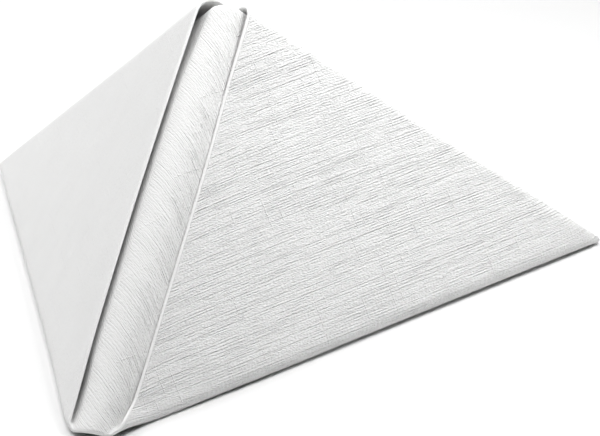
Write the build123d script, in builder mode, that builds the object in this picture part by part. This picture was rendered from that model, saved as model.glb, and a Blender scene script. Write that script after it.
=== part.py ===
from build123d import *
import os
from math import atan, cos, degrees, pi, radians, sin, sqrt

# Paper napkin in the standing pyramid fold: one square sheet, one solid.
# The sheet is folded corner to corner, its two far corners are brought up to the tip as flaps, and the
# diamond is folded back behind itself along its widest line. The doubled wall is then opened along its
# middle into a tent that stands on its two long base edges and its blunt nose.
# Frame: origin at the middle of the footprint on the table, +Z up, nose towards -Y, X across.

# Driving dimensions, in millimetres and degrees
sheet_side = 400.0  # side of the square sheet before it is folded
ply_pair = 1.0  # two plies of soft paper that always lie together
flap_gap = 2.4  # air between a flap and the sheet under it
leaf_gap = 3.2  # air between the front leaf and the leaf folded behind it
ridge_radius = 6.0  # outside of the soft bend along the ridge
wall_angle = 40.0  # from the upright plane through the ridge to each wall
front_reach = 145.0  # from the crest of the rear fold to the base edge, along the ridge
flap_setback = 1.0  # from the end of the ridge bend to a flap's free edge
crest_gap = 0.3  # air between the flaps' rear roll and the front leaf's crest under it
inner_slit = 0.8  # between the free edges of the two flaps inside the tent
table_flat = 0.15  # how much the base rolls are pressed flat where they rest
nose_spare = 12.0  # length of ridge strip past the base edge, trimmed off at the table

# Angles: the base edges lie level when the ridge slopes by this much
lean = radians(wall_angle)
slope = atan(cos(lean))
bend = 90.0 - wall_angle  # turn of the ridge bend on each side

# Levels of the layers, measured out of a wall from the axis of the ridge bend
strip_out = ridge_radius
strip_in = strip_out - ply_pair
flap_in = strip_out + flap_gap
flap_out = flap_in + ply_pair
inner_out = strip_in - leaf_gap
inner_in = inner_out - ply_pair
inner_flap_out = inner_in - flap_gap
inner_flap_in = inner_flap_out - ply_pair

# Folds: the rear fold carries the flaps round the outside and the front leaf round the inside
rear_radius = (flap_out - inner_flap_in) / 2
rear_level = (flap_out + inner_flap_in) / 2
leaf_radius = (strip_out - inner_in) / 2
leaf_turn_at = ply_pair + crest_gap + leaf_radius  # middle of the front leaf's rear roll, from the crest
base_radius = (flap_out - strip_in) / 2
base_level = (flap_out + strip_in) / 2
base_line = front_reach - base_radius * sqrt(2)  # where the flat walls run into the base roll

# Lengths of paper taken by the folds, at the middle of the paper
base_turn = pi * (base_radius - ply_pair / 2) / sqrt(2)  # along the ridge, round the base roll
ridge_turn = radians(bend) * (strip_out - ply_pair / 2)  # across the ridge, half the bend
flap_turn = pi * (rear_radius - ply_pair / 2)
leaf_turn = pi * (leaf_radius - ply_pair / 2)

# What the sheet's size leaves for the leaf behind, as distances from the crest of the rear fold
half_diagonal = sheet_side / sqrt(2)
flap_foot = base_line - flap_setback
nose_edge = flap_foot + base_turn
nose_half = ridge_turn + flap_setback
corner_line = half_diagonal - ridge_turn - nose_edge  # raw edge beyond the front leaf's widest point
leaf_front = nose_edge - leaf_turn_at
inner_line = half_diagonal - leaf_front - leaf_turn + leaf_turn_at - ridge_turn
flap_front = flap_foot - rear_radius + base_turn
inner_flap_tip = half_diagonal - nose_half - flap_front - flap_turn + rear_radius
inner_flap_line = flap_setback + inner_flap_tip
inner_setback = (inner_slit / 2 - inner_flap_in * cos(lean)) / sin(lean)
corner_reach = corner_line + rear_radius
leaf_corner_reach = corner_line + leaf_turn_at
widest_across = (base_line + corner_line) / 2
widest_along = (base_line - corner_line) / 2

# The right-hand wall: x down the wall from the ridge, y up along the ridge, z out of the wall
down_wall = Vector(sin(lean), cos(lean) * sin(slope), -cos(lean) * cos(slope))
up_ridge = Vector(0, cos(slope), sin(slope))
out_of_wall = Vector(cos(lean), -sin(lean) * sin(slope), sin(lean) * cos(slope))
fall = sin(slope)  # drop for each millimetre along the ridge or down the wall
axis_height = fall * base_line - out_of_wall.Z * base_level + base_radius - table_flat
wall = Plane(origin=(0, 0, axis_height), x_dir=down_wall, z_dir=out_of_wall)
ridge_axis = Axis(wall.origin, up_ridge)


def sheet_panel(outline, level):
    """One flat doubled panel of a wall, as points (down the wall, along the ridge) from the rear crest."""
    with BuildPart() as panel:
        with BuildSketch(wall.offset(level)):
            with BuildLine():
                Polyline([(across, -along) for across, along in outline], close=True)
            make_face()
        extrude(amount=ply_pair)
    return panel.part


def half_ring(radius):
    """Section of a rolled fold, drawn in the sketch that is open, on the side of its local +x."""
    Circle(radius)
    Circle(radius - ply_pair, mode=Mode.SUBTRACT)
    Rectangle(radius, 2 * radius, align=(Align.MIN, Align.CENTER), mode=Mode.INTERSECT)


def rolled_fold(section, radius, side, reach):
    """A rolled fold run out from its section plane, with its ends trimmed to a side view of the roll.

    side is a list of points (along the roll, out of the wall) from the section's origin.
    """
    side_plane = Plane(section.origin, x_dir=section.z_dir, z_dir=section.z_dir.cross(out_of_wall))
    with BuildPart() as fold:
        with BuildSketch(section):
            half_ring(radius)
        extrude(amount=reach, both=True)
        with BuildSketch(side_plane):
            with BuildLine():
                Polyline(side, close=True)
            make_face()
        extrude(amount=radius, both=True, mode=Mode.INTERSECT)
    return fold.part


# Flat panels of the right-hand wall, from the outside in
foot = base_line + nose_spare
flap = sheet_panel(
    [(flap_setback, rear_radius), (base_line - rear_radius, rear_radius), (flap_setback, flap_foot)],
    flap_in,
)
front_leaf = sheet_panel(
    [
        (0, leaf_turn_at),
        (leaf_corner_reach, leaf_turn_at),
        (widest_across, widest_along),
        (flap_setback, flap_foot),
        (flap_setback, foot),
        (0, foot),
    ],
    strip_in,
)
inner_leaf = sheet_panel(
    [(0, leaf_turn_at), (inner_line - leaf_turn_at, leaf_turn_at), (0, inner_line)],
    inner_in,
)
inner_flap = sheet_panel(
    [
        (inner_setback, rear_radius),
        (inner_flap_line - rear_radius, rear_radius),
        (inner_setback, inner_flap_line - inner_setback),
    ],
    inner_flap_in,
)

# Rear fold: two rolls, one inside the other, cut off slantwise at the corner where the raw edges run round
rear_section = Plane(
    wall.from_local_coords((0, -rear_radius, rear_level)), x_dir=wall.y_dir, z_dir=wall.x_dir
)
flap_roll = rolled_fold(
    rear_section,
    rear_radius,
    [
        (inner_setback, -rear_radius),
        (inner_flap_line - rear_radius, -rear_radius),
        (corner_reach, rear_radius),
        (flap_setback, rear_radius),
    ],
    front_reach,
)
leaf_section = Plane(
    wall.from_local_coords((0, -leaf_turn_at, rear_level)), x_dir=wall.y_dir, z_dir=wall.x_dir
)
leaf_roll = rolled_fold(
    leaf_section,
    leaf_radius,
    [
        (0, -leaf_radius),
        (inner_line - leaf_turn_at, -leaf_radius),
        (leaf_corner_reach, leaf_radius),
        (0, leaf_radius),
    ],
    front_reach,
)

# Base roll: joins the flap to the front leaf along the edge that stands on the table
along_base = (wall.x_dir + wall.y_dir).normalized()
across_base = (wall.x_dir - wall.y_dir).normalized()
base_middle = base_line / 2
base_section = Plane(
    wall.from_local_coords((base_middle, base_middle - base_line, base_level)),
    x_dir=across_base,
    z_dir=along_base,
)
to_nose = (flap_setback - base_middle) * sqrt(2)
to_corner = (corner_line + base_line) / sqrt(2) - base_middle * sqrt(2)
base_roll = rolled_fold(
    base_section,
    base_radius,
    [
        (to_nose - base_turn * sqrt(2), -base_radius),
        (to_corner, -base_radius),
        (to_corner, base_radius),
        (to_nose, base_radius),
    ],
    front_reach,
)

# Ridge: the front leaf, its roll over the apex and the leaf behind are bent round the ridge axis together
with BuildPart() as ridge_bend:
    with BuildSketch(leaf_section):
        half_ring(leaf_radius)
        with Locations((0, leaf_radius)):
            Rectangle(foot - leaf_turn_at, ply_pair, align=(Align.MAX, Align.MAX))
        with Locations((0, -leaf_radius)):
            Rectangle(inner_line - leaf_turn_at, ply_pair, align=(Align.MAX, Align.MIN))
    revolve(axis=ridge_axis, revolution_arc=-bend)

# The whole sheet: both walls, trimmed flat where it rests on the table
with BuildPart() as standing:
    add([flap, front_leaf, inner_leaf, inner_flap, flap_roll, leaf_roll, base_roll, ridge_bend.part])
    mirror(about=Plane.YZ)
    split(bisect_by=Plane.XY, keep=Keep.TOP)

# Middle of the footprint on the origin
footprint = standing.part.bounding_box()
with BuildPart(Location((0, -footprint.center().Y, 0))) as napkin:
    add(standing.part)

napkin.part.label = "napkin"
os.makedirs("parts", exist_ok=True)
export_step(napkin.part, "parts/napkin.step")
print("slope of the ridge", round(degrees(slope), 2), "degrees")
print("inner edges at", round(inner_line, 1), round(inner_flap_line, 1), "corner", round(corner_reach, 1))
print("size", napkin.part.bounding_box().size, "volume", round(napkin.part.volume, 1))
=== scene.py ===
"""Paper napkin in the standing pyramid fold: one embossed sheet, its table, light and camera."""
import logging
import math
from dataclasses import dataclass, field
from enum import Enum
from typing import Any

import bmesh
import bpy
import numpy as np
from mathutils import Matrix, Vector


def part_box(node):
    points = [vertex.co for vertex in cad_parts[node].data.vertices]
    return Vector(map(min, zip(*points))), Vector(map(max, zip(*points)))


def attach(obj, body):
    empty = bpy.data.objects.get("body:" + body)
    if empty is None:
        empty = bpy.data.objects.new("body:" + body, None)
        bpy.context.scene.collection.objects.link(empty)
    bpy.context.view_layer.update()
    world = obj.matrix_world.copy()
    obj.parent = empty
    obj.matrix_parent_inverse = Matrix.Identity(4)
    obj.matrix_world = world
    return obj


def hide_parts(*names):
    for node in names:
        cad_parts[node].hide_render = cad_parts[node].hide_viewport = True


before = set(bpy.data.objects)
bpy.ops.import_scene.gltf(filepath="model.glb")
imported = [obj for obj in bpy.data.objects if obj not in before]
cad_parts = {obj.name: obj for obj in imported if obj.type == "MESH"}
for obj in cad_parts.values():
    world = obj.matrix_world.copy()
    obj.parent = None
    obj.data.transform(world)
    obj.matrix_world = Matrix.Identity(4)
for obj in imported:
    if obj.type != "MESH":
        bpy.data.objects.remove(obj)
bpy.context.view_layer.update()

LOG = logging.getLogger("napkin")
MM = 0.001
ROOT_TWO = math.sqrt(2.0)
TINY = 1e-9
Number = float | int


class Side(Enum):
    """Which half of the napkin, as the sign of its X."""

    RIGHT = 1
    LEFT = -1


class Panel(Enum):
    """A doubled panel of the folded sheet."""

    LEAF = "front leaf, which runs over the rear fold into the leaf behind"
    FLAP = "flap turned up over the leaf along the base edge, and on over the rear fold"


class Skin(Enum):
    """One face of one ply of a panel, by how far it lies out from the middle of the doubled paper.

    The first number counts halves of the doubled paper's thickness, and the second counts plies.
    """

    OVER_OUT = (1, 0)
    OVER_IN = (1, -1)
    UNDER_IN = (-1, 1)
    UNDER_OUT = (-1, 0)


def ease(value: np.ndarray) -> np.ndarray:
    """Smooth step from 0 to 1 as value goes from 0 to 1."""
    held = np.clip(value, 0.0, 1.0)
    return held * held * (3.0 - 2.0 * held)


@dataclass(frozen=True, kw_only=True)
class FoldHand:
    """How one side of the fold came out of the hand: where it puffs, lifts and bows.

    Attributes:
        base_puff: middle radius of the base roll, away from the nose.
        nose_puff: that radius at the nose.
        slack: how far the base edge stands out past where a taut panel would end.
        nose_slack: what is added to that slack a little way past the nose.
        corner_pinch: share of their spacing that the layers keep at the pressed corner.
        corner_run: distance from the corner over which they open to their full spacing.
        corner_draw: how far the corner is drawn out along the base edge.
        rear_lean: how much later the paper turns over the rear fold at the corner than at the ridge.
        lift: how far the flap's free edge stands up off the wall, or is pressed down if below 0.
        lift_width: distance from the free edge over which the lift dies away.
        lift_run: length before the rear fold over which the apex's lift takes over.
        nose_lift_run: length past the nose over which the lift grows.
        apex_lift: the free edge's lift at the apex.
        strip_puff: how far the leaf is puffed up beside the ridge.
        setback: how far the free edge lies back from the ridge, past its fold line.
        nose_setback: what is added to the setback near the nose.
        bow: how far the middle of the free edge is bowed back from the ridge.
        bow_width: distance from the free edge over which setback and bow die away.
    """

    base_puff: float
    nose_puff: float
    slack: float
    nose_slack: float
    corner_pinch: float
    corner_run: float = 24.0 * MM
    corner_draw: float
    rear_lean: float
    lift: float
    lift_width: float
    lift_run: float = 35.0 * MM
    nose_lift_run: float
    apex_lift: float
    strip_puff: float = 0.0
    setback: float = 0.0
    nose_setback: float = 0.0
    bow: float
    bow_width: float = 30.0 * MM


@dataclass
class NapkinSheet:
    """The sheet's sizes, and where its folds take each point of the paper.

    A point of a panel is given by two lengths of paper: across, from the ridge's middle line, and up,
    from the first diagonal fold. A flap's lengths are those of the leaf's point that it lies over.
    """

    # Lowest corner of the solid that the sheet stands for
    box_low: Vector
    # Paper and plain fold
    sheet_side: float = 400.0 * MM
    ply_pair: float = 1.0 * MM
    ply: float = 0.4 * MM
    flap_gap: float = 2.4 * MM
    leaf_gap: float = 3.2 * MM
    ridge_radius: float = 6.0 * MM
    wall_angle: float = math.radians(40.0)
    front_reach: float = 145.0 * MM
    flap_setback: float = 1.0 * MM
    crest_gap: float = 1.5 * MM
    inner_slit: float = 0.8 * MM
    base_roll: float = 2.2 * MM
    table_flat: float = 0.15 * MM
    # How the soft paper gives
    table_press: float = 1.25 * MM
    puff_run: float = 45.0 * MM
    nose_run: float = 15.0 * MM
    nose_bulge: float = 1.2 * MM
    nose_tilt: float = 0.25 * MM
    bulge_run: float = 12.0 * MM
    strip_run: float = 12.0 * MM
    setback_start: float = 14.0 * MM
    setback_run: float = 40.0 * MM
    dip_width: float = 18.0 * MM
    give_width: float = 40.0 * MM
    draw_width: float = 45.0 * MM
    corner_sink: float = 2.5 * MM
    corner_set: float = 1.0 * MM
    # Spacing of the mesh, with the columns in millimetres from either end of their row
    edge_round: int = 6
    nose_rows_end: float = 18.0 * MM
    fold_rows_before: float = 4.0 * MM
    fold_rows_after: float = 22.0 * MM
    row_counts: tuple[int, ...] = (19, 26, 5, 27, 22)
    near_columns: tuple[float, ...] = (0.0, 0.8, 1.6, 2.4, 3.2, 4.0, 4.8, 5.6, 6.6, 8.0, 10.0, 13.0, 17.0)
    far_columns: tuple[float, ...] = (18.0, 14.0, 11.0, 9.0, 7.5, 6.5, 5.5, 4.5, 3.5, 2.6, 1.7, 0.8, 0.0)
    middle_columns: int = 13
    middle_least: float = 5.0 * MM
    # The two sides as they were folded
    hands: dict[Side, FoldHand] = field(
        default_factory=lambda: {
            Side.RIGHT: FoldHand(
                base_puff=3.3 * MM,
                nose_puff=1.7 * MM,
                slack=0.35 * MM,
                nose_slack=-1.1 * MM,
                corner_pinch=0.18,
                corner_draw=8.0 * MM,
                rear_lean=1.0 * MM,
                lift=-2.3 * MM,
                lift_width=20.0 * MM,
                nose_lift_run=14.0 * MM,
                apex_lift=-0.6 * MM,
                setback=0.5 * MM,
                nose_setback=2.2 * MM,
                bow=2.5 * MM,
            ),
            Side.LEFT: FoldHand(
                base_puff=3.0 * MM,
                nose_puff=1.0 * MM,
                slack=0.6 * MM,
                nose_slack=0.2 * MM,
                corner_pinch=0.7,
                corner_draw=3.5 * MM,
                rear_lean=0.5 * MM,
                lift=0.5 * MM,
                lift_width=30.0 * MM,
                nose_lift_run=35.0 * MM,
                apex_lift=0.5 * MM,
                strip_puff=1.5 * MM,
                bow=2.4 * MM,
            ),
        }
    )

    def __post_init__(self) -> None:
        """Works out the fold lines, levels and directions from the sizes."""
        self.bend = math.pi / 2 - self.wall_angle
        self.slope = math.atan(math.cos(self.wall_angle))
        half = self.ply_pair / 2
        self.leaf_mid = self.ridge_radius - half
        self.flap_mid = self.ridge_radius + self.flap_gap + half
        inner_in = self.ridge_radius - 2 * self.ply_pair - self.leaf_gap
        inner_flap_in = inner_in - self.flap_gap - self.ply_pair
        self.rear_level = (self.flap_mid + half + inner_flap_in) / 2
        self.flap_turn = self.flap_mid - self.rear_level
        self.leaf_turn = self.leaf_mid - self.rear_level
        self.flap_turn_at = self.flap_turn + half
        self.leaf_turn_at = self.ply_pair + self.crest_gap + self.leaf_turn + half
        self.ridge_turn = self.bend * self.leaf_mid
        self.nose_half = self.ridge_turn + self.flap_setback
        self.half_diagonal = self.sheet_side / ROOT_TWO
        base_line = self.front_reach - self.base_roll * ROOT_TWO
        roll_mid = self.base_roll - half
        self.nose_edge = base_line - self.flap_setback + math.pi * roll_mid / ROOT_TWO
        self.widest_up = (self.half_diagonal - self.nose_half) / 2
        self.down_ridge = np.array([0.0, -math.cos(self.slope), -math.sin(self.slope)])
        self.off_ridge = np.array([0.0, -math.sin(self.slope), math.cos(self.slope)])
        base_level = self.flap_mid - roll_mid
        out_rise = math.sin(self.wall_angle) * math.cos(self.slope)
        base_drop = math.sin(self.slope) * base_line - out_rise * base_level
        height = base_drop + self.base_roll - self.table_flat
        nose_along = (height + self.ridge_radius * math.cos(self.slope)) / math.sin(self.slope)
        nose_ahead = nose_along * math.cos(self.slope) + self.ridge_radius * math.sin(self.slope)
        self.ridge_axis = np.array([0.0, self.box_low.y + nose_ahead, height])

    def base_puff(self, hand: FoldHand, along: np.ndarray) -> np.ndarray:
        """Middle radius of the base roll at a place along the fold line.

        Args:
            hand: how that side was folded.
            along: lengths along the base fold, from the foot of the sheet's middle line.

        Returns:
            The radius at each place.
        """
        start = self.nose_half / ROOT_TWO
        end = self.half_diagonal / ROOT_TWO
        grown = ease((along - start) / self.puff_run)
        puff = hand.nose_puff + (hand.base_puff - hand.nose_puff) * grown
        return puff * self.pinch(hand, end - along)

    def shared_puff(self, hand: FoldHand, along: np.ndarray, share: np.ndarray) -> np.ndarray:
        """Radius of the base roll as the panel's paper feels it, the same on both sides at the ridge.

        Args:
            hand: how that side was folded.
            along: lengths along the base fold.
            share: how far the points are from the ridge, from 0 there to 1 at the base fold.

        Returns:
            The radius at each place.
        """
        common = sum(self.base_puff(each, along) for each in self.hands.values()) / len(self.hands)
        own = 2.0 * ease((1.0 + share) / 2.0) - 1.0
        return common + (self.base_puff(hand, along) - common) * own

    @staticmethod
    def pinch(hand: FoldHand, away: np.ndarray) -> np.ndarray:
        """Share of their full spacing that the layers keep, at distances from the pressed corner."""
        open_share = 1.0 - np.clip(1.0 - away / hand.corner_run, 0.0, 1.0) ** 2
        return hand.corner_pinch + (1.0 - hand.corner_pinch) * open_share

    def from_corner(self, across: np.ndarray, up: np.ndarray) -> np.ndarray:
        """Distances of points of a panel from the end of the base fold."""
        return np.hypot(across - self.widest_up - self.nose_half, up - self.widest_up)

    def squeeze(self, level: np.ndarray | float, pinch: np.ndarray) -> np.ndarray:
        """Levels with their spacing drawn together about the pressed corner's own level."""
        middle = self.flap_mid - self.corner_sink
        return middle + (level - middle) * pinch

    def flap_level(self, hand: FoldHand, across: np.ndarray, up: np.ndarray) -> np.ndarray:
        """Level of a flap over the wall, with its free edge lifted or pressed down.

        Args:
            hand: how that side was folded.
            across: lengths of paper from the ridge's middle line.
            up: lengths of paper from the nose.

        Returns:
            The level of the middle of the doubled paper.
        """
        inward = np.maximum(across - self.nose_half, 0.0) / hand.lift_width
        low = ease((self.nose_edge - up) / hand.lift_run)
        lift = hand.lift * ease(up / hand.nose_lift_run) * low + hand.apex_lift * (1.0 - low)
        return self.flap_mid + lift * np.exp(-inward * inward)

    def leaf_level(self, hand: FoldHand, across: np.ndarray, up: np.ndarray) -> np.ndarray:
        """Level of the leaf over the wall, puffed up beside the ridge along the flap's free edge.

        Args:
            hand: how that side was folded.
            across: lengths of paper from the ridge's middle line.
            up: lengths of paper from the nose.

        Returns:
            The level of the middle of the doubled paper.
        """
        outward = np.maximum(across - self.nose_half, 0.0) / hand.lift_width
        beside = ease(across / self.nose_half) * np.exp(-outward * outward)
        between = ease(up / self.strip_run) * ease((self.nose_edge - up) / hand.lift_run)
        return self.leaf_mid + hand.strip_puff * beside * between

    def turn_base(
        self, hand: FoldHand, panel: Panel, across: np.ndarray, up: np.ndarray
    ) -> tuple[np.ndarray, np.ndarray, np.ndarray]:
        """Takes a panel round the base roll.

        Args:
            hand: how that side was folded.
            panel: the panel that the points are on.
            across: lengths of paper from the ridge's middle line.
            up: lengths of paper from the nose.

        Returns:
            The places across and up that the points come to, and their levels.
        """
        along = (across + up) / ROOT_TWO
        inward = (up + self.nose_half - across) / ROOT_TWO
        share = np.clip(across / (up + self.nose_half), 0.0, 1.0)
        puff = self.shared_puff(hand, along, share)
        quarter = puff * math.pi / 2
        angle = np.maximum((quarter - inward) / puff, 0.0)
        reach = np.where(inward < quarter, puff * np.sin(angle) - quarter, -inward)
        shorter = (math.pi / 2 - 1.0) * (puff - self.base_roll + self.ply_pair / 2)
        give = ease(share) * np.exp(-np.square(np.maximum(inward, 0.0) / self.give_width))
        past_nose = np.maximum(along - self.nose_half / ROOT_TWO, 0.0) / self.nose_run
        slack = hand.slack + hand.nose_slack * past_nose * np.exp(1.0 - past_nose)
        reach = reach + (shorter + slack) * give
        away = self.from_corner(across, up)
        along = along + hand.corner_draw * np.exp(-np.square(away / self.draw_width))
        pinch = self.pinch(hand, away)
        new_across = (ROOT_TWO * (along + reach) + self.nose_half) / 2
        new_up = (ROOT_TWO * (along - reach) - self.nose_half) / 2
        climb = puff * (1.0 - np.cos(angle))
        flap = self.squeeze(self.flap_level(hand, new_across, new_up), pinch)
        if panel is Panel.FLAP:
            return new_across, new_up, flap - climb
        low = self.squeeze(self.flap_mid, pinch) - 2 * puff
        under = self.squeeze(self.leaf_level(hand, new_across, new_up), pinch)
        depth = (up + self.nose_half) * (1.0 - share * share * (2.0 - share)) / ROOT_TWO
        dip = (under - low) * ease(1.0 - (depth - quarter) / self.dip_width)
        return new_across, new_up, under - dip + climb

    def turn_rear(
        self, lean: np.ndarray, up: np.ndarray, level: np.ndarray, pinch: np.ndarray
    ) -> tuple[np.ndarray, np.ndarray]:
        """Takes the paper over the rear fold, the flaps round the outside and the leaf under them.

        Args:
            lean: how much later than at the ridge the paper turns over.
            up: places up the front leaf, running on past the fold.
            level: levels on the front leaf.
            pinch: share of their full spacing that the layers keep there.

        Returns:
            Distances down along the ridge from the crest, and the levels after the fold.
        """
        rear_level = self.squeeze(self.rear_level, pinch)
        turn = np.maximum(level - rear_level, self.ply * pinch)
        share = (turn / pinch - self.leaf_turn) / (self.flap_turn - self.leaf_turn)
        turn_at = self.leaf_turn_at + share * (self.flap_turn_at - self.leaf_turn_at)
        turn_at = self.corner_set + (turn_at - self.corner_set) * pinch
        past = up - (self.nose_edge + lean - turn_at)
        angle = np.clip(past / turn, 0.0, math.pi)
        beyond = np.maximum(past - math.pi * turn, 0.0)
        before = np.minimum(past, 0.0)
        along = turn_at - before - turn * np.sin(angle) + beyond - lean
        return along, rear_level + turn * np.cos(angle)

    def draw_back(
        self, hand: FoldHand, away: np.ndarray, along: np.ndarray, up: np.ndarray
    ) -> np.ndarray:
        """How far a flap's paper is drawn back from the ridge.

        Args:
            hand: how that side was folded.
            away: distances from the ridge's middle line.
            along: distances down the ridge from the crest.
            up: lengths of paper from the nose.

        Returns:
            The lengths to add to the distances from the ridge.
        """
        inward = np.maximum(away - self.nose_half, 0.0) / hand.bow_width
        middle = np.sin(np.pi * np.clip(along / self.nose_edge, 0.0, 1.0))
        by_nose = np.exp(-np.square(up / self.setback_run))
        back = (hand.setback + hand.nose_setback * by_nose) * ease(up / self.setback_start)
        return (back + hand.bow * middle) * np.exp(-inward)

    def stand(
        self, side: Side, across: np.ndarray, along: np.ndarray, level: np.ndarray
    ) -> np.ndarray:
        """Bends a wall at the ridge and stands it on the table.

        Args:
            side: which wall.
            across: lengths of paper from the ridge's middle line.
            along: distances down the ridge from the crest.
            level: distances out from the axis of the ridge bend.

        Returns:
            Points in the frame, one row each.
        """
        angle = np.clip(across / self.leaf_mid, -self.bend, self.bend)
        run = np.maximum(across - self.ridge_turn, 0.0)
        sideways = level * np.sin(angle) + run * math.sin(self.wall_angle)
        outward = level * np.cos(angle) - run * math.cos(self.wall_angle)
        points = self.ridge_axis + along[:, None] * self.down_ridge + outward[:, None] * self.off_ridge
        points[:, 0] += side.value * sideways
        return points

    def surface(self, panel: Panel, across: np.ndarray, up: np.ndarray) -> np.ndarray:
        """Middle surface of a doubled panel.

        Args:
            panel: the panel.
            across: signed lengths of paper from the ridge's middle line.
            up: lengths of paper from the nose.

        Returns:
            Points in the frame, one row each.
        """
        points = np.zeros((across.size, 3))
        for side, hand in self.hands.items():
            mine = across * side.value >= 0
            if not mine.any():
                continue
            own_across = np.abs(across[mine])
            own_up = up[mine]
            away, rise, level = self.turn_base(hand, panel, own_across, own_up)
            pinch = self.pinch(hand, self.from_corner(own_across, own_up))
            aside = np.clip(own_across / self.nose_half, 0.0, 1.0)
            further = self.nose_bulge * (1.0 - aside * aside) - self.nose_tilt * aside * side.value
            rise = rise - further * np.exp(-np.square(own_up / self.bulge_run))
            lean = hand.rear_lean * away / self.nose_edge
            along, level = self.turn_rear(lean, rise, level, pinch)
            if panel is Panel.FLAP:
                away = away + self.draw_back(hand, away, along, own_up)
            placed = self.stand(side, away, along, level)
            if panel is Panel.FLAP:
                short = np.maximum(self.inner_slit / 2 - placed[:, 0] * side.value, 0.0)
                placed[:, 0] += side.value * short
            points[mine] = placed
        return points

    def rows(self, panel: Panel) -> np.ndarray:
        """Places up a panel where its mesh has a row, closer together in the folds.

        Args:
            panel: the panel.

        Returns:
            Lengths of paper from the nose.
        """
        top = self.half_diagonal if panel is Panel.LEAF else self.half_diagonal - self.nose_half
        fold_start = self.widest_up - self.fold_rows_before
        fold_end = self.widest_up + self.fold_rows_after
        ends = (0.0, self.nose_rows_end, fold_start, self.widest_up, fold_end, top)
        spans = [np.linspace(*span) for span in zip(ends, ends[1:], self.row_counts)]
        return np.unique(np.concatenate(spans))

    def columns(self, panel: Panel, up: float) -> np.ndarray:
        """Places across a panel where a row has a point, closer at the ridge, free edge and base roll.

        Args:
            panel: the panel.
            up: the row's place.

        Returns:
            Unsigned lengths of paper from the ridge's middle line.
        """
        near = np.array(self.near_columns) * MM
        far = np.array(self.far_columns) * MM
        start = 0.0 if panel is Panel.LEAF else self.nose_half
        width = max(min(up + self.nose_half, self.half_diagonal - up) - start, 0.0)
        shrink = min(1.0, width / (near[-1] + far[0] + self.middle_least))
        near = near * shrink
        far = width - far * shrink
        middle = np.linspace(near[-1], far[0], self.middle_columns)[1:-1]
        return start + np.concatenate([near, middle, far])

    def lattice(self, panel: Panel, side: Side | None) -> tuple[np.ndarray, np.ndarray]:
        """Grid of the places on a panel where its mesh has points.

        Args:
            panel: the panel.
            side: which side's half, or None for both halves in one grid.

        Returns:
            Signed places across and places up, each rows by columns.
        """
        ups = self.rows(panel)
        across = np.array([self.columns(panel, up) for up in ups])
        if side is None:
            across = np.concatenate([-across[:, :0:-1], across], axis=1)
        else:
            across = across * side.value
        return across, np.repeat(ups[:, None], across.shape[1], axis=1)


class MeshBench:
    """Collects grids of points with their places on the flat sheet, and makes one mesh of them."""

    def __init__(self) -> None:
        """Starts with no points."""
        self.points: list[np.ndarray] = []
        self.places: list[np.ndarray] = []
        self.faces: list[np.ndarray] = []
        self.count = 0

    def grid(self, points: np.ndarray, places: np.ndarray) -> None:
        """Adds a grid of quads.

        Args:
            points: rows by columns by 3.
            places: rows by columns by 2, on the flat sheet.
        """
        rows, columns = points.shape[:2]
        index = self.count + np.arange(rows * columns).reshape(rows, columns)
        quads = np.stack([index[:-1, :-1], index[:-1, 1:], index[1:, 1:], index[1:, :-1]], axis=-1)
        self.points.append(points.reshape(-1, 3))
        self.places.append(places.reshape(-1, 2))
        self.faces.append(quads.reshape(-1, 4))
        self.count += rows * columns

    def mesh(self, name: str, weld: float, crease: float) -> bpy.types.Mesh:
        """Makes the mesh, welds what meets and keeps the flat places as its UV map.

        Args:
            name: the mesh's name.
            weld: points nearer than this become one.
            crease: edges that turn by more than this angle stay sharp.

        Returns:
            The new mesh.
        """
        made = bpy.data.meshes.new(name)
        made.from_pydata(np.concatenate(self.points).tolist(), [], np.concatenate(self.faces).tolist())
        layer = made.uv_layers.new(name="sheet")
        corner = np.zeros(len(made.loops), np.int32)
        made.loops.foreach_get("vertex_index", corner)
        layer.uv.foreach_set("vector", np.concatenate(self.places)[corner].astype(np.float32).ravel())
        work = bmesh.new()
        work.from_mesh(made)
        bmesh.ops.remove_doubles(work, verts=work.verts, dist=weld)
        bmesh.ops.dissolve_degenerate(work, edges=work.edges, dist=weld)
        bmesh.ops.recalc_face_normals(work, faces=work.faces)
        for face in work.faces:
            face.smooth = True
        for edge in work.edges:
            if len(edge.link_faces) == 2 and edge.calc_face_angle() > crease:
                edge.smooth = False
        work.to_mesh(made)
        work.free()
        return made


@dataclass(frozen=True)
class Patch:
    """Places on a panel, and the doubled paper's middle points and outward normals there."""

    panel: Panel
    across: np.ndarray
    up: np.ndarray
    points: np.ndarray
    normal: np.ndarray

    def part(self, *key: int | slice) -> "Patch":
        """Some of the places, such as a row or a column of them."""
        return Patch(self.panel, self.across[key], self.up[key], self.points[key], self.normal[key])


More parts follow.
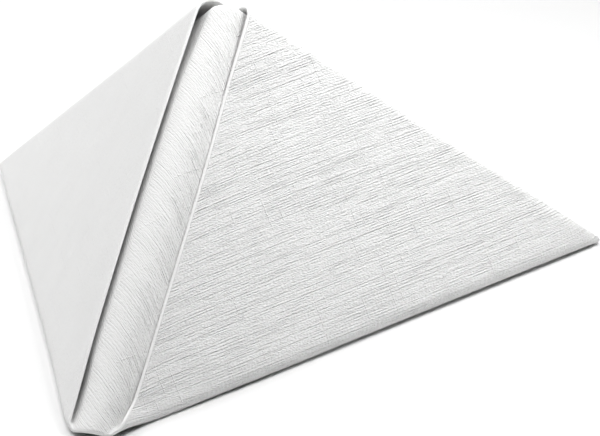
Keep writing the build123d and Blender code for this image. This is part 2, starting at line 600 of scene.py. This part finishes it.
@dataclass
class NapkinMaker:
    """Builds the napkin's mesh from its sheet and dresses it.

    Attributes:
        sheet: the sheet that is to be built.
        weld: points of the mesh nearer than this become one.
        crease: edges of the mesh that turn by more than this angle stay sharp.
        probe: length of paper over which the sheet's directions are measured.
        bench: what collects the faces.
    """

    sheet: NapkinSheet
    weld: float = 0.002 * MM
    crease: float = math.radians(50.0)
    probe: float = 0.02 * MM
    bench: MeshBench = field(default_factory=MeshBench)

    def measure(self, panel: Panel, side: Side | None) -> tuple[Patch, np.ndarray, np.ndarray]:
        """Finds all points of a panel's mesh, with the directions of its rows and columns.

        Args:
            panel: the panel.
            side: which side's half, or None for both halves in one grid.

        Returns:
            The whole grid, and the way that a unit of paper goes across and up at each of its places.
        """
        step = self.probe
        across, up = self.sheet.lattice(panel, side)
        shape = across.shape + (3,)
        flat_across = across.ravel()
        flat_up = up.ravel()
        points = self.sheet.surface(panel, flat_across, flat_up)
        ahead = self.sheet.surface(panel, flat_across + step, flat_up)
        behind = self.sheet.surface(panel, flat_across - step, flat_up)
        over = self.sheet.surface(panel, flat_across, flat_up + step)
        under = self.sheet.surface(panel, flat_across, flat_up - step)
        along_across = (ahead - behind) / (2 * step)
        along_up = (over - under) / (2 * step)
        normal = np.cross(along_across, along_up)
        normal /= np.maximum(np.linalg.norm(normal, axis=1, keepdims=True), TINY)
        patch = Patch(panel, across, up, points.reshape(shape), normal.reshape(shape))
        return patch, along_across.reshape(shape), along_up.reshape(shape)

    def flat_places(self, patch: Patch, over: bool) -> np.ndarray:
        """Places on the flat square sheet, from 0 to 1, of a ply of a panel.

        Args:
            patch: the places on the panel.
            over: whether it is the ply on the panel's outward side.

        Returns:
            An array with two numbers for each place.
        """
        half = self.sheet.nose_half
        across = patch.across
        up = patch.up
        if patch.panel is Panel.FLAP:
            across, up = np.sign(across) * (up + half), np.abs(across) - half
            over = not over
        rise = up if over else -up
        scale = ROOT_TWO * self.sheet.sheet_side
        return np.stack([0.5 + (across + rise) / scale, 0.5 + (rise - across) / scale], axis=-1)

    def add_skins(self, patch: Patch) -> None:
        """Adds the four faces of a doubled panel's two plies.

        Args:
            patch: the panel's grid.
        """
        for skin in Skin:
            places = self.flat_places(patch, skin.value[0] > 0)
            self.bench.grid(patch.points + patch.normal * self.offset(skin), places)

    def offset(self, skin: Skin) -> float:
        """How far a skin lies out from the middle of the doubled paper."""
        pair, ply = skin.value
        return pair * self.sheet.ply_pair / 2 + ply * self.sheet.ply

    def add_rim(self, line: Patch) -> None:
        """Closes each ply along a raw edge of the sheet.

        Args:
            line: the places along the edge.
        """
        for first, second, over in (
            (Skin.OVER_OUT, Skin.OVER_IN, True),
            (Skin.UNDER_IN, Skin.UNDER_OUT, False),
        ):
            ends = [line.points + line.normal * self.offset(skin) for skin in (first, second)]
            places = self.flat_places(line, over)
            self.bench.grid(np.stack(ends), np.stack([places, places]))

    def add_fold(self, line: Patch, outward: np.ndarray) -> None:
        """Rounds the first diagonal fold, where the two plies are one sheet.

        Args:
            line: the places along the fold.
            outward: unit directions out of the paper there, square to the fold.
        """
        turns = np.linspace(0.0, math.pi, self.sheet.edge_round + 1)
        for skin in (Skin.OVER_OUT, Skin.OVER_IN):
            radius = abs(self.offset(skin))
            rings = [
                line.points + radius * (math.cos(turn) * line.normal + math.sin(turn) * outward)
                for turn in turns
            ]
            places = [self.flat_places(line, turn < math.pi / 2) for turn in turns]
            self.bench.grid(np.stack(rings), np.stack(places))

    @staticmethod
    def square_off(step: np.ndarray, normal: np.ndarray, edge: np.ndarray) -> np.ndarray:
        """Finds the way out of the paper, square to an edge.

        Args:
            step: steps that leave the paper, at any angle to the edge.
            normal: the paper's normals.
            edge: directions along the edge.

        Returns:
            Unit directions in the paper's plane.
        """
        out = np.cross(normal, edge)
        out *= np.sign((out * step).sum(axis=-1, keepdims=True))
        return out / np.maximum(np.linalg.norm(out, axis=-1, keepdims=True), TINY)

    def build(self) -> bpy.types.Object:
        """Builds the whole folded sheet as one piece.

        Returns:
            The new object, in the frame.
        """
        leaf, step_across, step_up = self.measure(Panel.LEAF, None)
        self.add_skins(leaf)
        folded = int(np.argmin(np.abs(leaf.up[:, 0] - self.sheet.widest_up)))
        for column in (0, -1):
            self.add_rim(leaf.part(slice(folded, None), column))
        outward = self.square_off(-step_up[0], leaf.normal[0], step_across[0])
        self.add_fold(leaf.part(0), outward)
        for side, column in ((Side.RIGHT, -1), (Side.LEFT, 0)):
            self.build_flap(side, leaf.part(slice(folded + 1), column), outward[column])
        made = self.bench.mesh("napkin_sheet", self.weld, self.crease)
        self.settle(made)
        piece = bpy.data.objects.new("napkin_sheet", made)
        bpy.context.scene.collection.objects.link(piece)
        return piece

    def settle(self, made: bpy.types.Mesh) -> None:
        """Sets the mesh down on the table, its base rolls pressed a little flat by the weight.

        Args:
            made: the napkin's mesh.
        """
        points = np.zeros(len(made.vertices) * 3, np.float32)
        made.vertices.foreach_get("co", points)
        heights = points[2::3]
        heights -= heights.min() + self.sheet.table_press
        np.maximum(heights, 0.0, out=heights)
        made.vertices.foreach_set("co", points)
        made.update()

    def build_flap(self, side: Side, seam: Patch, nose_outward: np.ndarray) -> None:
        """Builds one flap onto the leaf's edge along the base roll.

        Args:
            side: which flap.
            seam: the leaf's places along the middle of the base roll, from the nose.
            nose_outward: the way out of the paper at the nose end of the seam.
        """
        flap, step_across, step_up = self.measure(Panel.FLAP, side)
        count = len(seam.points)
        flap.points[:count, -1] = seam.points
        flap.normal[:count, -1] = -seam.normal
        flap.points[0] = seam.points[0]
        flap.normal[0] = -seam.normal[0]
        self.add_skins(flap)
        self.add_rim(flap.part(slice(count - 1, None), -1))
        edge = flap.part(slice(None), 0)
        outward = self.square_off(-side.value * step_across[:, 0], edge.normal, step_up[:, 0])
        outward[0] = nose_outward
        self.add_fold(edge, outward)

    def dress(self, piece: bpy.types.Object) -> None:
        """Gives the napkin its paper, hangs it on the root body and hides the CAD part that it stands for.

        Args:
            piece: the napkin.
        """
        sheet = self.sheet
        rear_fold = sheet.nose_edge + sheet.nose_half
        piece.data.materials.append(LinenPaper(sheet.sheet_side, rear_fold).material())
        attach(piece, "root")
        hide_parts("napkin")


class Bench:
    """A material's node tree, with one way to add a node."""

    def __init__(self, tree: bpy.types.NodeTree) -> None:
        """Clears the tree and keeps it."""
        self.tree = tree
        tree.nodes.clear()

    def node(self, kind: str, settings: dict[str, Any], **sockets: Any) -> bpy.types.Node:
        """Adds a node.

        Args:
            kind: the node's type.
            settings: the node's own settings, which are set first.
            sockets: values or links of its inputs, by name with _ for a space, or by _ and a number.

        Returns:
            The new node.
        """
        made = self.tree.nodes.new(kind)
        for key, value in settings.items():
            setattr(made, key, value)
        for key, value in sockets.items():
            self.feed(made.inputs[int(key[1:]) if key[1:].isdigit() else key.replace("_", " ")], value)
        return made

    def feed(self, target: bpy.types.NodeSocket, value: Any) -> None:
        """Links a wrapped socket to an input, or sets a plain value on it.

        Args:
            target: the input.
            value: the wrapped socket or the value.
        """
        if isinstance(value, Wire):
            self.tree.links.new(value.socket, target)
        else:
            target.default_value = value

    def wire(self, kind: str, settings: dict[str, Any], output: str | int, **sockets: Any) -> "Wire":
        """Adds a node and wraps one of its outputs."""
        return Wire(self, self.node(kind, settings, **sockets).outputs[output])

    def noise(self, place: "Wire") -> "Wire":
        """Adds smooth noise over the first two axes of a place, from 0 to 1 and mostly near 0.5."""
        flat = {"noise_dimensions": "2D"}
        return self.wire("ShaderNodeTexNoise", flat, "Fac", Vector=place, Scale=1.0, Detail=0.0)

    def mix(self, share: "Wire", first: Any, second: Any) -> "Wire":
        """Adds a mix of two colours, whose sockets go by number because several there share a name."""
        return self.wire("ShaderNodeMix", {"data_type": "RGBA"}, 2, _0=share, _6=first, _7=second)

    def step(self, value: "Wire", span: tuple[float, float], ends: tuple[float, float]) -> "Wire":
        """Adds a smooth step.

        Args:
            value: what is stepped.
            span: the values where the step starts and ends.
            ends: the results there.

        Returns:
            The stepped value.
        """
        return self.wire(
            "ShaderNodeMapRange",
            {"interpolation_type": "SMOOTHSTEP"},
            "Result",
            Value=value,
            From_Min=span[0],
            From_Max=span[1],
            To_Min=ends[0],
            To_Max=ends[1],
        )


@dataclass
class Wire:
    """A socket's value, on which Python's operators add Math nodes."""

    bench: Bench
    socket: bpy.types.NodeSocket

    def join(self, operation: str, first: Any, second: Any) -> "Wire":
        """Adds one Math node."""
        return self.bench.wire("ShaderNodeMath", {"operation": operation}, "Value", _0=first, _1=second)

    def __add__(self, other: "Wire | Number") -> "Wire":
        """Sum."""
        return self.join("ADD", self, other)

    def __radd__(self, other: Number) -> "Wire":
        """Sum with a number first."""
        return self.join("ADD", other, self)

    def __sub__(self, other: "Wire | Number") -> "Wire":
        """Difference."""
        return self.join("SUBTRACT", self, other)

    def __rsub__(self, other: Number) -> "Wire":
        """Difference from a number."""
        return self.join("SUBTRACT", other, self)

    def __mul__(self, other: "Wire | Number") -> "Wire":
        """Product."""
        return self.join("MULTIPLY", self, other)

    def __rmul__(self, other: Number) -> "Wire":
        """Product with a number first."""
        return self.join("MULTIPLY", other, self)

    def __abs__(self) -> "Wire":
        """Size without the sign."""
        return self.bench.wire("ShaderNodeMath", {"operation": "ABSOLUTE"}, "Value", _0=self)


@dataclass(frozen=True)
class Streaks:
    """Noise drawn out along the flat sheet.

    Attributes:
        wide: length of its waves across the grooves, in millimetres.
        long: length of its waves along the grooves, in millimetres.
        seed: which part of the noise it is.
    """

    wide: float
    long: float
    seed: float

    def draw(self, bench: Bench, place: Wire) -> Wire:
        """Adds the noise.

        Args:
            bench: the material's nodes.
            place: place on the flat sheet, in millimetres.

        Returns:
            A value from 0 to 1, mostly near 0.5.
        """
        drawn = bench.wire(
            "ShaderNodeVectorMath",
            {"operation": "MULTIPLY_ADD"},
            "Vector",
            _0=place,
            _1=(1.0 / self.wide, 1.0 / self.long, 1.0),
            _2=(self.seed, self.seed / ROOT_TWO, 0.0),
        )
        return bench.noise(drawn)


@dataclass(frozen=True)
class Threads:
    """Straight threads side by side on the flat sheet, each with its own strength along its length.

    Attributes:
        pitch: distance from thread to thread, in millimetres.
        sway: how their places wander, as a share of the pitch.
        width: a thread's width, as a share of the pitch.
        long: length over which a thread's strength changes, in millimetres.
        share: values of the strength's noise where a thread begins to show and is at its strongest.
        along_y: whether the threads run along the sheet's Y, and otherwise along its X.
        least: strength of the weakest threads.
        apart: how far apart neighbouring threads are in the strength's noise.
    """

    pitch: float
    sway: Streaks
    width: float
    long: float
    share: tuple[float, float]
    along_y: bool
    least: float = 0.0
    apart: float = 7.31

    def draw(self, bench: Bench, place: Wire) -> Wire:
        """Adds the threads.

        Args:
            bench: the material's nodes.
            place: place on the flat sheet, in millimetres.

        Returns:
            A value from 0 between the threads to 1 on the middle of a strong one.
        """
        axes = bench.node("ShaderNodeSeparateXYZ", {}, Vector=place)
        names = ("X", "Y") if self.along_y else ("Y", "X")
        across, along = (Wire(bench, axes.outputs[name]) for name in names)
        counted = across * (1.0 / self.pitch) + self.sway.draw(bench, place)
        within = bench.wire("ShaderNodeMath", {"operation": "FRACT"}, "Value", _0=counted)
        row = (counted - within) * self.apart
        spot = bench.wire("ShaderNodeCombineXYZ", {}, "Vector", X=row, Y=along * (1.0 / self.long))
        strength = bench.noise(spot)
        body = bench.step(abs(within - 0.5), (0.0, self.width / 2), (1.0, 0.0))
        return body * bench.step(strength, self.share, (self.least, 1.0))


@dataclass(frozen=True)
class LinenPaper:
    """White soft paper with a linen emboss.

    Long grooves of uneven strength run one way of the sheet, with short raised dashes and a fine grain
    between them, and a few dotted slubs run the other way. Handling has rubbed the emboss down on the ridge
    and left of it, along the rear fold, and on the very edge of the first fold. On the right of the ridge,
    that fold's very rim gets a paler colour as a painted highlight, standing in for light catching the rim.
    The sheet's side and the rear fold's distance from the ridge are in metres, and all other lengths and
    heights are in millimetres. An edge gives the distances where a change starts and ends, and a share
    is how much of the emboss is left there.
    """

    sheet_side: float
    rear_fold: float
    colour: tuple[float, float, float] = (0.83, 0.83, 0.825)
    thin_colour: tuple[float, float, float] = (0.815, 0.815, 0.811)
    clouds: Streaks = Streaks(wide=6.0, long=9.0, seed=17.3)
    roughness: float = 0.86
    fuzz: float = 0.10
    gloss: float = 0.2
    grooves: Threads = Threads(
        pitch=0.80,
        sway=Streaks(wide=4.0, long=900.0, seed=3.1),
        width=0.46,
        long=40.0,
        share=(0.34, 0.66),
        along_y=True,
        least=0.15,
    )
    groove_depth: float = 0.19
    dashes: Streaks = Streaks(wide=0.34, long=8.0, seed=11.7)
    dash_height: float = 0.23
    grain: Streaks = Streaks(wide=0.36, long=0.9, seed=5.3)
    grain_height: float = 0.24
    slubs: Threads = Threads(
        pitch=4.2,
        sway=Streaks(wide=900.0, long=9.0, seed=23.3),
        width=0.13,
        long=16.0,
        share=(0.56, 0.64),
        along_y=False,
    )
    slub_dots: Streaks = Streaks(wide=0.8, long=1.1, seed=41.7)
    slub_spread: tuple[float, float] = (0.34, 0.56)
    slub_height: float = 0.17
    rubbed_edge: tuple[float, float] = (-2.0, 6.0)
    rubbed_share: float = 0.38
    border_edge: tuple[float, float] = (3.5, 6.0)
    border_share: float = 0.15
    # The next two settings paint a highlight: a paler colour on the very rim of the first fold, right of the
    # ridge.
    fold_highlight_colour: tuple[float, float, float] = (0.87, 0.87, 0.865)
    fold_highlight_edge: tuple[float, float] = (0.0, 0.15)
    pressed_edge: tuple[float, float] = (0.05, 0.35)
    pressed_share: float = 0.1

    def emboss(self, bench: Bench, place: Wire, grain: Wire, aside: Wire, from_fold: Wire) -> Wire:
        """Height of the paper's face.

        Args:
            bench: the material's nodes.
            place: place on the flat sheet, in millimetres.
            grain: the fine grain there.
            aside: signed distance from the ridge's line, in millimetres.
            from_fold: distance from the first fold, in millimetres.

        Returns:
            The height in millimetres.
        """
        height = self.dash_height * self.dashes.draw(bench, place) + self.grain_height * grain
        height = height - self.groove_depth * self.grooves.draw(bench, place)
        dots = bench.step(self.slub_dots.draw(bench, place), self.slub_spread, (0.0, 1.0))
        height = height + self.slub_height * (self.slubs.draw(bench, place) * dots)
        height = height * bench.step(aside, self.rubbed_edge, (self.rubbed_share, 1.0))
        height = height * bench.step(from_fold, self.pressed_edge, (self.pressed_share, 1.0))
        from_rear = abs(abs(aside) - self.rear_fold / MM)
        return height * bench.step(from_rear, self.border_edge, (self.border_share, 1.0))

    @staticmethod
    def slant(bench: Bench, place: Wire, sign: float) -> Wire:
        """Place along one of the sheet's diagonals.

        Args:
            bench: the material's nodes.
            place: place on the flat sheet, in millimetres.
            sign: 1 along the diagonal through the sheet's zero corner and -1 along the other.

        Returns:
            The place along the diagonal, in millimetres.
        """
        axes = bench.node("ShaderNodeSeparateXYZ", {}, Vector=place)
        along = Wire(bench, axes.outputs["X"]) + sign * Wire(bench, axes.outputs["Y"])
        return along * (1.0 / ROOT_TWO)

    def material(self) -> bpy.types.Material:
        """Makes the paper's material.

        Returns:
            The new material.
        """
        made = bpy.data.materials.new("linen_paper")
        made.use_nodes = True
        bench = Bench(made.node_tree)
        flat = bench.wire("ShaderNodeUVMap", {"uv_map": "sheet"}, "UV")
        side = self.sheet_side / MM
        place = bench.wire(
            "ShaderNodeVectorMath", {"operation": "MULTIPLY"}, "Vector", _0=flat, _1=(side, side, 0.0)
        )
        grain = self.grain.draw(bench, place)
        aside = self.slant(bench, place, -1.0)
        from_fold = abs(self.slant(bench, place, 1.0) - side / ROOT_TWO)
        height = self.emboss(bench, place, grain, aside, from_fold)
        bump = bench.wire("ShaderNodeBump", {}, "Normal", Strength=1.0, Distance=MM, Height=height)
        clouds = self.clouds.draw(bench, place)
        tint = bench.mix(clouds, (*self.colour, 1.0), (*self.thin_colour, 1.0))
        # Painted highlight: the first fold's rim right of the ridge is given a paler colour, standing in for
        # light that catches it.
        on_right = bench.step(aside, self.rubbed_edge, (0.0, 1.0))
        on_fold_highlight = bench.step(from_fold, self.fold_highlight_edge, (1.0, 0.0))
        tint = bench.mix(on_fold_highlight * on_right, tint, (*self.fold_highlight_colour, 1.0))
        paper = bench.wire(
            "ShaderNodeBsdfPrincipled",
            {},
            "BSDF",
            Base_Color=tint,
            Roughness=self.roughness + self.fuzz * grain,
            Specular_IOR_Level=self.gloss,
            Normal=bump,
        )
        bench.node("ShaderNodeOutputMaterial", {}, Surface=paper)
        return made


@dataclass(frozen=True)
class TablePaint:
    """Matt pale paint of the studio table."""

    colour: tuple[float, float, float] = (0.85, 0.85, 0.85)
    roughness: float = 0.9

    def material(self) -> bpy.types.Material:
        """Makes the table's material.

        Returns:
            The new material.
        """
        made = bpy.data.materials.new("table_paint")
        made.use_nodes = True
        bench = Bench(made.node_tree)
        colour = (*self.colour, 1.0)
        paint = bench.wire(
            "ShaderNodeBsdfPrincipled", {}, "BSDF", Base_Color=colour, Roughness=self.roughness
        )
        bench.node("ShaderNodeOutputMaterial", {}, Surface=paint)
        return made


@dataclass(frozen=True)
class Softbox:
    """A square soft light that faces the napkin, with its sizes in metres and its power in watts."""

    name: str
    direction: tuple[float, float, float]
    power: float
    distance: float = 0.90
    size: float = 0.60

    def hang(self, aim: Vector) -> None:
        """Hangs the light so that it faces a point.

        Args:
            aim: the point.
        """
        light = bpy.data.lights.new(self.name, "AREA")
        light.size = self.size
        light.energy = self.power
        away = Vector(self.direction).normalized()
        hung = bpy.data.objects.new(self.name, light)
        hung.location = aim + away * self.distance
        hung.rotation_euler = away.to_track_quat("Z", "Y").to_euler()
        bpy.context.scene.collection.objects.link(hung)


@dataclass
class Studio:
    """Table, soft lights and the camera of the photograph's view, with the lens in millimetres."""

    table_half: float = 3.0
    azimuth: float = math.radians(17.08)
    elevation: float = math.radians(21.72)
    roll: float = math.radians(0.80)
    distance: float = 1.1523
    lens: float = 240.0
    sensor: float = 36.0
    aim: Vector = field(default_factory=lambda: Vector((29.24 * MM, 5.8 * MM, 33.0 * MM)))
    lit_point: Vector = field(default_factory=lambda: Vector((0.0, 0.0, 40.0 * MM)))
    softboxes: tuple[Softbox, ...] = (
        Softbox("front_top_light", (0.0, -0.35, 0.94), power=3.90),
        Softbox("left_light", (-0.75, 0.0, 0.66), power=2.40),
        Softbox("back_left_light", (-0.45, 0.5, 0.74), power=4.60),
        Softbox("back_right_light", (0.5, 0.5, 0.7), power=1.50),
        Softbox("near_right_light", (0.5, 0.25, 0.83), power=0.535, distance=0.28, size=0.12),
    )

    def table(self) -> None:
        """Lays the table."""
        half = self.table_half
        made = bpy.data.meshes.new("table")
        corners = [(-half, -half, 0.0), (half, -half, 0.0), (half, half, 0.0), (-half, half, 0.0)]
        made.from_pydata(corners, [], [(0, 1, 2, 3)])
        made.materials.append(TablePaint().material())
        piece = bpy.data.objects.new("table", made)
        bpy.context.scene.collection.objects.link(piece)

    def lights(self) -> None:
        """Lights the scene with the soft lights alone, under a black sky."""
        world = bpy.data.worlds.new("studio")
        world.use_nodes = True
        world.node_tree.nodes["Background"].inputs["Strength"].default_value = 0.0
        bpy.context.scene.world = world
        for softbox in self.softboxes:
            softbox.hang(self.lit_point)

    def camera(self) -> None:
        """Sets the camera at the photograph's viewing angle."""
        eye = bpy.data.cameras.new("camera")
        eye.lens = self.lens
        eye.sensor_width = self.sensor
        back = Vector(
            (
                math.sin(self.azimuth) * math.cos(self.elevation),
                -math.cos(self.azimuth) * math.cos(self.elevation),
                math.sin(self.elevation),
            )
        )
        level = Vector((math.cos(self.azimuth), math.sin(self.azimuth), 0.0))
        right = level * math.cos(self.roll) + back.cross(level) * math.sin(self.roll)
        turned = Matrix((right, back.cross(right), back)).transposed().to_4x4()
        hung = bpy.data.objects.new("camera", eye)
        hung.matrix_world = Matrix.Translation(self.aim + back * self.distance) @ turned
        bpy.context.scene.collection.objects.link(hung)
        bpy.context.scene.camera = hung


def main() -> None:
    """Builds the napkin, dresses it, and sets the studio round it."""
    logging.basicConfig(level=logging.INFO, format="%(message)s")
    low, _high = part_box("napkin")
    maker = NapkinMaker(NapkinSheet(box_low=low))
    piece = maker.build()
    maker.dress(piece)
    LOG.info("%s: %d faces", piece.name, len(piece.data.polygons))
    studio = Studio()
    studio.table()
    studio.lights()
    studio.camera()
    LOG.info("studio: table, camera and %d lights", len(studio.softboxes))
    bpy.context.scene.view_settings.view_transform = "Standard"


if __name__ == "__main__":
    main()
